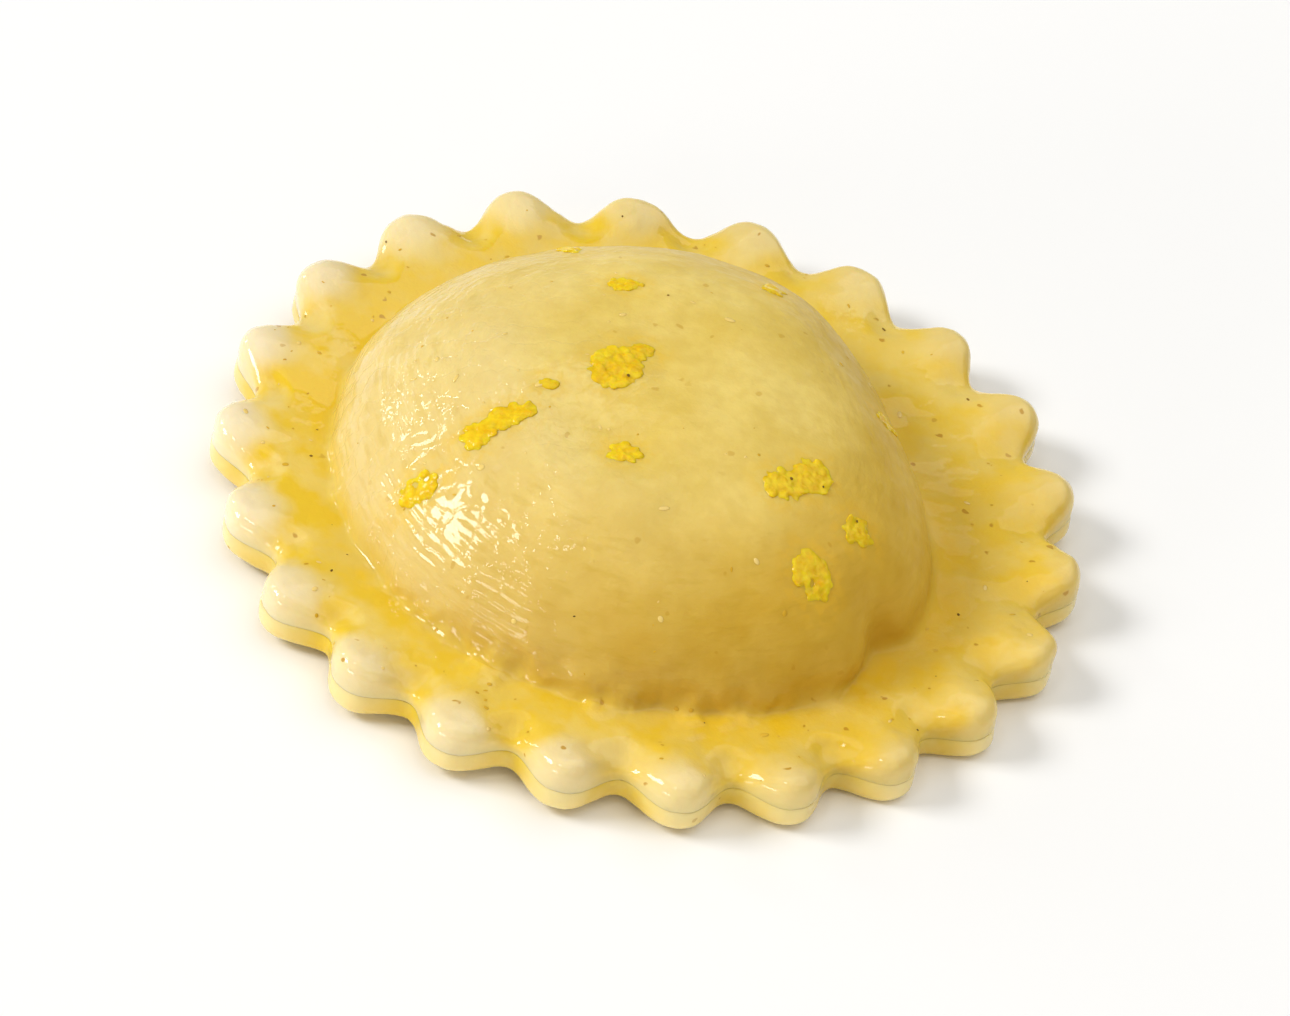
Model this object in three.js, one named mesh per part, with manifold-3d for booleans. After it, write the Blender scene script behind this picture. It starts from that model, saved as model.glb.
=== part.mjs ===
// A large round ravioli, cooked and buttered, lying flat: two sheets of egg pasta sealed round a mound
// of filling, cut with a fluted ring of 22 scallops, with flecks of lemon zest stuck to its top.
// Millimetres, +Z up, +Y away from the viewer. The origin is on the table, under the middle of the piece.
import * as THREE from "three";
import { mergeVertices } from "three/addons/utils/BufferGeometryUtils.js";
import Module from "manifold-3d";

// Driving dimensions
const TIP_RADIUS = 35; // middle to the tip of a scallop
const SCALLOPS = 22;
const SCALLOP_DEPTH = 2.75; // tip to notch
const SCALLOP_BLUNTNESS = 1.3; // 1 is a plain wave, higher has broad tips and narrow notches
const FIRST_TIP = 135.7; // degrees anticlockwise from +X
const SHEET = 2.1; // one cooked sheet of pasta
const SEAM_GAP = 0.3; // the line between the two sealed sheets
const MOUND_HEIGHT = 12.2; // filling and top sheet above the flange
const FOOT_RADIUS = 24.4; // the mound, where it meets the flange
const MOUND_MIDDLE = [-0.5, -0.8];
const FLAT_RADIUS = 21; // what rests on the table
const FLANGE_LIFT = 0.6; // how far the cut edge curls up off the table

// How uneven cutting and cooking left it: [waves round the piece, amount, degrees where one is highest].
// The first is degrees that a tip lies ahead of its even place. The others are mm: how much further out
// a tip lies, how much higher the edge curls, and how much further out the mound's foot lies.
const TIP_DRIFT = [[1, 3.8, -151], [2, 0.3, 14]];
const TIP_REACH = [[3, 0.28, 9]];
const FLANGE_WAVE = [[1, 0.4, 150], [3, 0.2, 20]];
const FOOT_WAVE = [[1, 0.93, -142], [2, 0.93, -59], [3, 0.54, -37], [4, 0.5, -20]];

// The mound's section, and the fold low in its wall: degrees, width in degrees, mm inwards
const SHOULDER = 3.0; // higher is a flatter top with a fuller shoulder
const WALL = 1.75; // higher is a steeper wall
const FOLD = [-32, 5, 2.1];
const FOLD_TOP = 0.7; // where the fold has faded out, as a share of the mound's height

// Soft dents and swells of the top: x, y, radius, height
const SWELLS = [[-4.5, -8.7, 3.4, -0.7], [-1.8, -14.6, 3.6, 0.3], [21.5, -15.2, 2.2, -0.9], [9, 7, 6, 0.35]];

// The flange's top: a shallow gutter round the mound, and scallops that stand proud of the notches
const GUTTER = { radius: 27.5, width: 2.6, depth: 0.45 };
const PILLOW = { from: 26, to: 33, height: 0.7 };

// The cut edge's section, from the top down: [mm inside the outline, share of the sheet's thickness]
const UPPER_EDGE = [[1.1, 1], [0.35, 0.8], [0.25, 0.3], [0.6, 0]];
const LOWER_EDGE = [[0.6, 1], [0.1, 0.7], [0.1, 0.3], [0.8, 0]];

// Lemon zest: x, y, length, width, turn in degrees
const ZEST = [
  [-11.6, -8.7, 5.0, 1.9, 38], [-13.5, -10.5, 2.6, 2.3, 70], [-4.5, -1.5, 5.0, 3.9, 75],
  [-3.0, 0.9, 2.4, 1.9, 20], [-2.3, -10.2, 2.4, 1.7, 10], [10.2, -9.2, 3.4, 2.8, 30],
  [12.2, -7.4, 3.4, 2.9, 70], [16.4, -9.8, 2.4, 2.4, 0], [13.8, -15.2, 3.7, 2.8, 120],
  [-16.8, -14.3, 2.7, 2.5, 45], [-5.5, 9.0, 2.6, 1.2, 5], [6.0, 15.0, 2.4, 1.6, 65],
  [-10.5, 15.6, 2.2, 1.5, 140], [17.0, 5.5, 2.0, 1.4, 20], [-9.3, -4.8, 1.1, 0.8, 0],
];
const ZEST_HEIGHT = 0.5; // how far a fleck stands out
const GRAIN_SIDES = 7;
const GRAIN_BANDS = 4;
const GRAIN_LUMPS = 0.22; // how uneven a fleck is, as a share of its size

// How finely the form is cut into facets
const STEPS_A_SCALLOP = 8;
const STEPS = SCALLOPS * STEPS_A_SCALLOP;
const MOUND_RINGS = 12;
const FLANGE_RINGS = 4;

const radians = THREE.MathUtils.degToRad;
const mix = THREE.MathUtils.lerp;
const ease = THREE.MathUtils.smoothstep;
const [MIDDLE_X, MIDDLE_Y] = MOUND_MIDDLE;

// The sum of a few waves round the piece, at an angle in radians.
function waves(list, angle) {
  return list.reduce((sum, [times, amount, peak]) => {
    return sum + amount * Math.cos(times * (angle - radians(peak)));
  }, 0);
}

// A point of the cut edge. turn counts scallops from the first tip: whole numbers are tips, halves are
// notches. fullness is 1 at a tip and 0 at a notch.
function edgePoint(turn) {
  const even = radians(FIRST_TIP) + (turn / SCALLOPS) * 2 * Math.PI;
  const angle = even + radians(waves(TIP_DRIFT, even));
  const fullness = 0.5 + 0.5 * Math.cos(2 * Math.PI * turn);
  const cut = SCALLOP_DEPTH * (1 - fullness) ** SCALLOP_BLUNTNESS;
  const radius = TIP_RADIUS + waves(TIP_REACH, even) - cut;
  return { x: radius * Math.cos(angle), y: radius * Math.sin(angle), angle, fullness };
}

// The radius that the mound's foot would have, drawn in by the fold. rise is the share of the mound's
// height at which that is asked, because the fold fades upwards.
function footRadius(angle, rise) {
  const [peak, width, depth] = FOLD;
  const off = angle - radians(peak);
  const away = Math.atan2(Math.sin(off), Math.cos(off)) / radians(width);
  const fold = depth * Math.exp(-(away ** 2)) * (1 - ease(rise, 0, FOLD_TOP));
  return FOOT_RADIUS + waves(FOOT_WAVE, angle) - fold;
}

function footPoint(angle, rise = 0) {
  const radius = footRadius(angle, rise);
  return { x: MIDDLE_X + radius * Math.cos(angle), y: MIDDLE_Y + radius * Math.sin(angle) };
}

// The underside of the piece, flat where it rests and curling up to the cut edge.
function underside(x, y) {
  const curl = FLANGE_LIFT + waves(FLANGE_WAVE, Math.atan2(y, x));
  return curl * ease(Math.hypot(x, y), FLAT_RADIUS, TIP_RADIUS);
}

function swell(x, y) {
  return SWELLS.reduce((sum, [sx, sy, size, height]) => {
    return sum + height * Math.exp(-((x - sx) ** 2 + (y - sy) ** 2) / (2 * size * size));
  }, 0);
}

// The top of the flange, and of the mound's foot: two sheets above the underside.
function flangeTop(x, y, fullness) {
  const radius = Math.hypot(x, y);
  const gutter = GUTTER.depth * Math.exp(-(((radius - GUTTER.radius) / GUTTER.width) ** 2));
  const pillow = PILLOW.height * (fullness - 0.5) * ease(radius, PILLOW.from, PILLOW.to);
  return underside(x, y) + 2 * SHEET - gutter + pillow + swell(x, y);
}

// The faces where the two sheets meet, half the gap above and below the joint.
const seamTop = (x, y) => underside(x, y) + SHEET + SEAM_GAP / 2;
const seamBottom = (x, y) => underside(x, y) + SHEET - SEAM_GAP / 2;

// Rings of points, each STEPS long, joined into one closed body that starts and ends on an axis point.
function closedBody(first, rings, last) {
  const points = [first, ...rings.flat(), last];
  const faces = [];
  const at = (ring, step) => 1 + ring * STEPS + (step % STEPS);
  for (let step = 0; step < STEPS; step++) {
    faces.push(0, at(0, step), at(0, step + 1));
    for (let ring = 0; ring + 1 < rings.length; ring++) {
      const [a, b, c, d] = [at(ring, step), at(ring + 1, step), at(ring + 1, step + 1), at(ring, step + 1)];
      faces.push(a, b, c, a, c, d);
    }
    faces.push(at(rings.length - 1, step), points.length - 1, at(rings.length - 1, step + 1));
  }
  const body = new THREE.BufferGeometry();
  body.setAttribute("position", new THREE.Float32BufferAttribute(points.flat(), 3));
  body.setIndex(faces);
  return body;
}

function ringOf(makePoint) {
  return Array.from({ length: STEPS }, (_, step) => makePoint(edgePoint(step / STEPS_A_SCALLOP)));
}

// A ring that follows the cut edge a little inside it, at the height that a function gives.
function edgeRing(inside, height) {
  return ringOf((edge) => {
    const keep = 1 - inside / Math.hypot(edge.x, edge.y);
    const [x, y] = [edge.x * keep, edge.y * keep];
    return [x, y, height(x, y, edge.fullness)];
  });
}

// A plain round ring, for the faces inside the seam and for the underside.
function roundRing(radius, height) {
  return ringOf(({ angle }) => {
    const [x, y] = [radius * Math.cos(angle), radius * Math.sin(angle)];
    return [x, y, height(x, y)];
  });
}

// The mound from its crown down to its foot: a superellipse in section.
function moundRings() {
  return Array.from({ length: MOUND_RINGS }, (_, ring) => {
    const lean = ((ring + 1) / MOUND_RINGS) * (Math.PI / 2);
    const share = Math.sin(lean) ** (2 / SHOULDER);
    const rise = Math.cos(lean) ** (2 / WALL);
    return ringOf(({ angle, fullness }) => {
      const foot = footPoint(angle, rise);
      const [x, y] = [mix(MIDDLE_X, foot.x, share), mix(MIDDLE_Y, foot.y, share)];
      return [x, y, flangeTop(x, y, fullness) + MOUND_HEIGHT * rise];
    });
  });
}

// The flange's top between the mound's foot and the rounded cut edge.
function flangeRings(inside) {
  return Array.from({ length: FLANGE_RINGS - 1 }, (_, ring) => {
    const share = (ring + 1) / FLANGE_RINGS;
    return ringOf((edge) => {
      const foot = footPoint(edge.angle);
      const keep = 1 - inside / Math.hypot(edge.x, edge.y);
      const [x, y] = [mix(foot.x, edge.x * keep, share), mix(foot.y, edge.y * keep, share)];
      return [x, y, flangeTop(x, y, edge.fullness)];
    });
  });
}

// The upper sheet with the mound that it covers, uncut and so solid, down to the seam.
function domedTop() {
  const edge = UPPER_EDGE.map(([inside, share]) => {
    return edgeRing(inside, (x, y, fullness) => mix(seamTop(x, y), flangeTop(x, y, fullness), share));
  });
  const above = [...moundRings(), ...flangeRings(UPPER_EDGE[0][0])];
  const rings = [...above, ...edge, roundRing(FLAT_RADIUS, seamTop)];
  const crown = [MIDDLE_X, MIDDLE_Y, flangeTop(MIDDLE_X, MIDDLE_Y, 1) + MOUND_HEIGHT];
  return closedBody(crown, rings, [0, 0, seamTop(0, 0)]);
}

// The lower sheet: flat on the table, and a little wider than the upper one.
function baseSheet() {
  const edge = LOWER_EDGE.map(([inside, share]) => {
    return edgeRing(inside, (x, y) => mix(underside(x, y), seamBottom(x, y), share));
  });
  const middleRadius = (FLAT_RADIUS + TIP_RADIUS - SCALLOP_DEPTH) / 2;
  const below = [roundRing(middleRadius, underside), roundRing(FLAT_RADIUS, underside)];
  const rings = [roundRing(FLAT_RADIUS, seamBottom), ...edge, ...below];
  return closedBody([0, 0, seamBottom(0, 0)], rings, [0, 0, underside(0, 0)]);
}

// The mound's height at a place, for what lies on it.
function topAt(x, y) {
  const angle = Math.atan2(y - MIDDLE_Y, x - MIDDLE_X);
  const share = Math.min(1, Math.hypot(x - MIDDLE_X, y - MIDDLE_Y) / footRadius(angle, 1));
  return flangeTop(x, y, 0.5) + MOUND_HEIGHT * (1 - share ** SHOULDER) ** (1 / WALL);
}

function topNormal(x, y) {
  const reach = ZEST_HEIGHT;
  const slopeX = (topAt(x + reach, y) - topAt(x - reach, y)) / (2 * reach);
  const slopeY = (topAt(x, y + reach) - topAt(x, y - reach)) / (2 * reach);
  return new THREE.Vector3(-slopeX, -slopeY, 1).normalize();
}

// One fleck of zest: a lumpy, flattened grain, half sunk in the pasta.
function zestFleck([x, y, length, width, turn], index) {
  const grain = new THREE.SphereGeometry(0.5, GRAIN_SIDES, GRAIN_BANDS);
  grain.deleteAttribute("normal");
  grain.deleteAttribute("uv");
  const lumpy = mergeVertices(grain);
  const place = lumpy.attributes.position;
  for (let i = 0; i < place.count; i++) {
    const size = 1 + GRAIN_LUMPS * Math.sin(i * 2.4 + index * 1.7);
    place.setXYZ(i, place.getX(i) * size, place.getY(i) * size, place.getZ(i) * size);
  }
  const upright = new THREE.Vector3(0, 0, 1);
  const lean = new THREE.Quaternion().setFromUnitVectors(upright, topNormal(x, y));
  const spin = new THREE.Quaternion().setFromAxisAngle(upright, radians(turn));
  const at = new THREE.Vector3(x, y, topAt(x, y));
  const size = new THREE.Vector3(length, width, 2 * ZEST_HEIGHT);
  lumpy.rotateX(Math.PI / 2);
  return lumpy.applyMatrix4(new THREE.Matrix4().compose(at, lean.multiply(spin), size));
}

const wasm = await Module();
wasm.setup();

function toSolid(body) {
  const merged = mergeVertices(body);
  const vertProperties = merged.attributes.position.array;
  return new wasm.Manifold(new wasm.Mesh({ numProp: 3, vertProperties, triVerts: merged.index.array }));
}

function toBody(solid) {
  const mesh = solid.getMesh();
  const body = new THREE.BufferGeometry();
  body.setAttribute("position", new THREE.BufferAttribute(mesh.vertProperties, 3));
  body.setIndex(new THREE.BufferAttribute(mesh.triVerts, 1));
  return body;
}

const zest = ZEST.map(zestFleck).map(toSolid);
const topWithZest = zest.reduce((solid, fleck) => solid.add(fleck), toSolid(domedTop()));

const ravioli = new THREE.Group();
const addPiece = (name, body, color, roughness) => {
  const mesh = new THREE.Mesh(body, new THREE.MeshStandardMaterial({ color, roughness, metalness: 0 }));
  mesh.name = name;
  ravioli.add(mesh);
};
addPiece("domed_top", toBody(topWithZest), "#EBCF85", 0.3);
addPiece("base_sheet", baseSheet(), "#F1DC9C", 0.35);

// The footprint's middle goes over the origin.
const footprint = new THREE.Box3().setFromObject(ravioli).getCenter(new THREE.Vector3());
ravioli.position.set(-footprint.x, -footprint.y, 0);

export default ravioli;
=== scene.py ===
# %% [markdown]
# # A buttered ravioli
# One large round ravioli lies flat on a white table. Two sheets of egg pasta are sealed round a mound of
# filling and cut with a fluted ring of 22 scallops. It is wet with melted butter, which has pooled in the
# trough round the mound, and grated lemon zest and ground spice are stuck to it.
# The frame is loaded first: its two solids say where everything goes. The box that they fill is kept.

# %% Load the frame
import math

import bpy
import numpy as np
from mathutils import Matrix, Vector
from mathutils.bvhtree import BVHTree


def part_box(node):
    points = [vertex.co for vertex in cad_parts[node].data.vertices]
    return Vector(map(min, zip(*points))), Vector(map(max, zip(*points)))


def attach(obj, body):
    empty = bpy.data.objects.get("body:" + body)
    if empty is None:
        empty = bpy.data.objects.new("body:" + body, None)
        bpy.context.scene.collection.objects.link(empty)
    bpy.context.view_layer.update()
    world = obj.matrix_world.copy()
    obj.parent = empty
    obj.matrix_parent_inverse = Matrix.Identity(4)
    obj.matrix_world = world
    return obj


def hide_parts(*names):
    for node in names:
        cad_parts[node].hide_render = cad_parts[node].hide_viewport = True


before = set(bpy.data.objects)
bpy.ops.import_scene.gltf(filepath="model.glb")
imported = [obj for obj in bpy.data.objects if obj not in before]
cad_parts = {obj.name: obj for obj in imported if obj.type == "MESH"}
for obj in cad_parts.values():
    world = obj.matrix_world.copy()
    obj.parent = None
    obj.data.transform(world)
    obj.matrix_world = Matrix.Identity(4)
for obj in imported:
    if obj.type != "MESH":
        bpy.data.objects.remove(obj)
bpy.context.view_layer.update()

MM = 0.001
TURN = 2 * math.pi
print("nodes:", list(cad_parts))

# %% [markdown]
# ## The measured form
# The visual pieces have the same form as the solids, only finer, so they are worked out from the same sizes.
# All of them are in millimetres: the sheet's thickness, the ring of scallops, the section of the mound, and
# how uneven cutting and cooking left it. A wave is [times round the piece, amount, degrees of its peak], and
# a swell or dent is [x, y, spread, height]. The mound's section is a superellipse: the higher its exponents
# SHOULDER and WALL are, the fuller the mound is.

# %% Sizes of the cut sheets
TIP_RADIUS = 35
SCALLOPS = 22
SCALLOP_DEPTH = 2.75
SCALLOP_BLUNTNESS = 1.3
FIRST_TIP = 135.7
SHEET = 2.1
SEAM_GAP = 0.3
FLAT_RADIUS = 21
FLANGE_LIFT = 0.6
TIP_DRIFT = [[1, 3.8, -151], [2, 0.3, 14]]
TIP_REACH = [[3, 0.28, 9]]
FLANGE_WAVE = [[1, 0.4, 150], [3, 0.2, 20]]
print("scallops", round(TURN * TIP_RADIUS / SCALLOPS, 1), "mm apart")

# %% Sizes of the mound, the trough round it and the dents
MOUND_HEIGHT = 12.2
FOOT_RADIUS = 24.4
MOUND_MIDDLE = (-0.5, -0.8)
FOOT_WAVE = [[1, 0.93, -142], [2, 0.93, -59], [3, 0.54, -37], [4, 0.5, -20]]
SHOULDER, WALL = 3.0, 1.75
FOLD_AT, FOLD_WIDTH, FOLD_DEPTH, FOLD_TOP = -32, 5, 2.1, 0.7
SWELLS = [[-4.5, -8.7, 3.4, -0.7], [-1.8, -14.6, 3.6, 0.3], [21.5, -15.2, 2.2, -0.9], [9, 7, 6, 0.35]]
GUTTER_RADIUS, GUTTER_WIDTH, GUTTER_DEPTH = 27.5, 2.6, 0.45
PILLOW_FROM, PILLOW_TO, PILLOW_HEIGHT = 26, 33, 0.7


# %% Zest clumps: x, y, length, width, and turn in degrees
ZEST = [
    [-11.6, -8.7, 5.0, 1.9, 38], [-13.5, -10.5, 2.6, 2.3, 70], [-4.5, -1.5, 5.0, 3.9, 75],
    [-3.0, 0.9, 2.4, 1.9, 20], [-2.3, -10.2, 2.4, 1.7, 10], [10.2, -9.2, 3.4, 2.8, 30],
    [12.2, -7.4, 3.4, 2.9, 70], [16.4, -9.8, 2.4, 2.4, 0], [13.8, -15.2, 3.7, 2.8, 120],
    [-16.8, -14.3, 2.7, 2.5, 45], [-5.5, 9.0, 2.6, 1.2, 5], [6.0, 15.0, 2.4, 1.6, 65],
    [-10.5, 15.6, 2.2, 1.5, 140], [17.0, 5.5, 2.0, 1.4, 20], [-9.3, -4.8, 1.1, 0.8, 0],
]


# %% Functions of the form
def ease(value, start, end):
    """0 before the start and 1 after the end, with a smooth step between."""
    share = np.clip((value - start) / (end - start), 0, 1)
    return share * share * (3 - 2 * share)


def waves(terms, angle):
    """The sum of a list of waves at an angle."""
    return sum(amount * np.cos(times * (angle - math.radians(peak))) for times, amount, peak in terms)


def edge_at(turn):
    """Angle, radius and fullness of the cut edge. Whole turns are tips of scallops, halves are notches."""
    even = math.radians(FIRST_TIP) + turn / SCALLOPS * TURN
    angle = even + np.radians(waves(TIP_DRIFT, even))
    fullness = 0.5 + 0.5 * np.cos(TURN * turn)
    cut = SCALLOP_DEPTH * (1 - fullness) ** SCALLOP_BLUNTNESS
    return angle, TIP_RADIUS + waves(TIP_REACH, even) - cut, fullness


def foot_radius(angle, rise):
    """The mound's radius at an angle, drawn in where the sheet is folded."""
    off = angle - math.radians(FOLD_AT)
    away = np.arctan2(np.sin(off), np.cos(off)) / math.radians(FOLD_WIDTH)
    fold = FOLD_DEPTH * np.exp(-(away**2)) * (1 - ease(rise, 0, FOLD_TOP))
    return FOOT_RADIUS + waves(FOOT_WAVE, angle) - fold


def underside(x, y):
    """How high the lower sheet curls off the table."""
    curl = FLANGE_LIFT + waves(FLANGE_WAVE, np.arctan2(y, x))
    return curl * ease(np.hypot(x, y), FLAT_RADIUS, TIP_RADIUS)


def flange_top(x, y, fullness):
    """The upper face outside the mound: gutter, plump scallops, swells and dents."""
    radius = np.hypot(x, y)
    gutter = GUTTER_DEPTH * np.exp(-(((radius - GUTTER_RADIUS) / GUTTER_WIDTH) ** 2))
    pillow = PILLOW_HEIGHT * (fullness - 0.5) * ease(radius, PILLOW_FROM, PILLOW_TO)
    swell = sum(h * np.exp(-((x - sx) ** 2 + (y - sy) ** 2) / (2 * s * s)) for sx, sy, s, h in SWELLS)
    return underside(x, y) + 2 * SHEET - gutter + pillow + swell


def towards(angle, middle, width):
    """1 towards an angle in degrees, falling to 0 away from it."""
    off = angle - math.radians(middle)
    return np.exp(-((np.arctan2(np.sin(off), np.cos(off)) / math.radians(width)) ** 2))


# %% [markdown]
# The solids were moved so that the footprint's middle is the origin. The same move is worked out here from
# the widest line, the lower sheet's edge, and held against the solid's own box.

# %% The footprint's middle
WIDEST_INSET = 0.1
line = edge_at(np.arange(SCALLOPS * 8) / 8)
line_x = (line[1] - WIDEST_INSET) * np.cos(line[0])
line_y = (line[1] - WIDEST_INSET) * np.sin(line[0])
MIDDLE = np.array([(line_x.min() + line_x.max()) / 2, (line_y.min() + line_y.max()) / 2])
base_low, base_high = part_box("base_sheet")
print("footprint by formula, mm:", np.ptp(line_x).round(3), np.ptp(line_y).round(3))
print("footprint of the solid, mm:", [round(v / MM, 3) for v in (base_high - base_low)[:2]])


def from_mm(x, y, z):
    """Points in metres, in the frame, from millimetres before that move."""
    return np.stack([(x - MIDDLE[0]) * MM, (y - MIDDLE[1]) * MM, z * MM], axis=-1)


# %% [markdown]
# ## Helpers for meshes
# Operators act on what is selected and active, so each piece starts with nothing selected. Vertices are read
# and written as one array, which is quick on a mesh of this size.

# %% Modes and selection
def edit_mode():
    bpy.ops.object.mode_set(mode="EDIT")


def object_mode():
    bpy.ops.object.mode_set(mode="OBJECT")


def deselect_all():
    if bpy.context.mode != "OBJECT":
        object_mode()
    bpy.ops.object.select_all(action="DESELECT")


def only(piece):
    deselect_all()
    piece.select_set(True)
    bpy.context.view_layer.objects.active = piece


def points_of(piece):
    flat = np.empty(len(piece.data.vertices) * 3)
    piece.data.vertices.foreach_get("co", flat)
    return flat.reshape(-1, 3)


def move_points(piece, points):
    piece.data.vertices.foreach_set("co", np.ascontiguousarray(points).ravel())
    piece.data.update()


def select_vertices(piece, chosen):
    """Selects vertices by a mask, and goes to edit mode with them."""
    only(piece)
    edit_mode()
    bpy.ops.mesh.select_mode(type="VERT")
    bpy.ops.mesh.select_all(action="DESELECT")
    object_mode()
    piece.data.vertices.foreach_set("select", np.asarray(chosen, dtype=bool))
    edit_mode()


def close_to_a_point():
    """Extrudes the selected ring to its own middle, and turns all faces outward."""
    bpy.ops.mesh.extrude_region_move()
    bpy.ops.mesh.merge(type="CENTER")
    bpy.ops.mesh.select_all(action="SELECT")
    bpy.ops.mesh.normals_make_consistent(inside=False)
    object_mode()


# %% Groups, attributes and modifiers
def weight_group(piece, name, weights):
    group = piece.vertex_groups.new(name=name)
    for index in np.nonzero(weights > 0.001)[0].tolist():
        group.add([index], float(weights[index]), "REPLACE")


def apply_modifier(piece, kind, **settings):
    only(piece)
    modifier = piece.modifiers.new(kind.title(), kind)
    for key, value in settings.items():
        setattr(modifier, key, value)
    bpy.ops.object.modifier_apply(modifier=modifier.name)


def keep_attribute(piece, name, kind, values):
    layer = piece.data.attributes.new(name, kind, "POINT")
    layer.data.foreach_set("value" if kind == "FLOAT" else "vector", np.ascontiguousarray(values).ravel())


def count(piece):
    piece.data.calc_loop_triangles()
    print(piece.name, len(piece.data.vertices), "vertices", len(piece.data.loop_triangles), "triangles")


# %% [markdown]
# ## The upper sheet, flat
# A cook rolls the sheet flat and lays it over the filling, and this piece is made the same way. It starts as
# a flat round sheet whose radius is measured along the surface, from the crown down to the trough and out to
# the cut. The middle is a grid of square faces, so that the crown has no pole where a gloss would pinch.
# Outside it are round rings, which line up with the scallops. Relaxing the middle evens out the four places
# where grid and rings meet.

# %% How fine the sheet is
STEPS_A_SCALLOP = 32
STEPS = SCALLOPS * STEPS_A_SCALLOP
TOP_INSET = 1.6
GRID_RADIUS = 19.0
EDGE_RINGS = 14

# %% The length along the mound's section
lean = np.linspace(0, math.pi / 2, 2000)
section_out = np.sin(lean) ** (2 / SHOULDER)
section_up = np.cos(lean) ** (2 / WALL)
step_lengths = np.hypot(np.diff(section_out) * FOOT_RADIUS, np.diff(section_up) * MOUND_HEIGHT)
section_length = np.concatenate([[0], np.cumsum(step_lengths)])
FOOT_LENGTH = section_length[-1]
RIM_LENGTH = FOOT_LENGTH + TIP_RADIUS - SCALLOP_DEPTH / 2 - TOP_INSET - FOOT_RADIUS
RING_STEP = 0.3
OUTER_RINGS = round((RIM_LENGTH - GRID_RADIUS) / RING_STEP)
EDGE_STEP = 0.32
print("crown to foot", round(FOOT_LENGTH, 2), "mm, crown to rim", round(RIM_LENGTH, 2), "mm")


# %% Helpers that add rings round a grid
def outer_ring(radius, cuts):
    """Extrudes the open boundary out to a radius, and cuts the new band into rings."""
    bpy.ops.mesh.select_all(action="SELECT")
    bpy.ops.mesh.region_to_loop()
    bpy.ops.mesh.extrude_region_move()
    reach = boundary_point().length
    bpy.ops.transform.resize(value=(radius * MM / reach,) * 2 + (1,))
    select_radial_edges(reach, radius * MM)
    bpy.ops.mesh.subdivide(number_cuts=cuts)


def boundary_point():
    """The first of the selected points."""
    piece = bpy.context.object
    object_mode()
    chosen = np.zeros(len(piece.data.vertices), dtype=bool)
    piece.data.vertices.foreach_get("select", chosen)
    found = Vector(points_of(piece)[chosen][0])
    edit_mode()
    return found


def select_radial_edges(inner, outer):
    """Selects the edges that join two radii."""
    piece = bpy.context.object
    bpy.ops.mesh.select_mode(type="EDGE")
    bpy.ops.mesh.select_all(action="DESELECT")
    object_mode()
    radius = np.hypot(*points_of(piece)[:, :2].T)
    ends = np.empty(len(piece.data.edges) * 2, dtype=int)
    piece.data.edges.foreach_get("vertices", ends)
    ends = np.sort(radius[ends.reshape(-1, 2)], axis=1)
    margin = 0.001 * inner
    crossing = (abs(ends[:, 0] - inner) < margin) & (abs(ends[:, 1] - outer) < margin)
    piece.data.edges.foreach_set("select", crossing)
    edit_mode()


# %% Grid, rings and relaxed middle
deselect_all()
bpy.ops.mesh.primitive_circle_add(vertices=STEPS, radius=GRID_RADIUS * MM)
pasta_top = bpy.context.object
pasta_top.name = "pasta_top"
edit_mode()
bpy.ops.mesh.select_all(action="SELECT")
bpy.ops.mesh.fill_grid(span=STEPS // 4)
outer_ring(RIM_LENGTH, OUTER_RINGS - 1)
outer_ring(RIM_LENGTH + EDGE_STEP * EDGE_RINGS, EDGE_RINGS - 1)
object_mode()
flat = points_of(pasta_top)
RELAXED_RADIUS = 23.0
select_vertices(pasta_top, np.hypot(flat[:, 0], flat[:, 1]) < RELAXED_RADIUS * MM)
bpy.ops.mesh.vertices_smooth(factor=0.5, repeat=60)
object_mode()
count(pasta_top)

# %% [markdown]
# ## Draping the sheet
# Each point of the flat sheet goes to its place on the mound, in the trough, on the scallops or round the cut
# edge. The edge is a rounded shoulder, a short side, and a groove where the two sheets were pressed together.
# A cloth simulation could drape the sheet too, but the formula follows the measured section exactly.

# %% The cut edge's section
EDGE_INSET = 0.25
SEAM_INSET = 0.26
SEAM_DEEP_INSET = 0.45
SHEETS_APART = 0.004
SIDE_SHARE = 0.45
SHOULDER_SPAN, SIDE_SPAN, SEAM_SPAN = 1.6, 0.9, 0.5
EDGE_SPAN = SHOULDER_SPAN + SIDE_SPAN + SEAM_SPAN


def upper_edge_section(along):
    """Inset from the outline, share of the thickness above the seam, and mm below the seam's upper face."""
    down = np.clip(along / SHOULDER_SPAN, 0, 1) * math.pi / 2
    under = np.clip((along - SHOULDER_SPAN) / SIDE_SPAN, 0, 1) * math.pi / 2
    inward = np.clip((along - (SHOULDER_SPAN + SIDE_SPAN)) / SEAM_SPAN, 0, 1)
    inset = EDGE_INSET + (TOP_INSET - EDGE_INSET) * (1 - np.sin(down))
    inset += (SEAM_INSET - EDGE_INSET) * (1 - np.cos(under)) + (SEAM_DEEP_INSET - SEAM_INSET) * inward
    share = SIDE_SHARE * (1 - np.sin(under)) + (1 - SIDE_SHARE) * np.cos(down)
    drop = (SEAM_GAP / 2 - SHEETS_APART / 2) * (1 - np.cos(under))
    return inset, share, drop


# %% [markdown]
# ### Scallops that differ
# The cutter's scallops are all alike, but each was pinched and then curled in the boiling water. They could
# be pulled about one by one in Sculpt mode. Here three numbers for each scallop, from a draw with a fixed
# seed, change its reach, its place and its height, and are blended from one scallop to the next.

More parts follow.
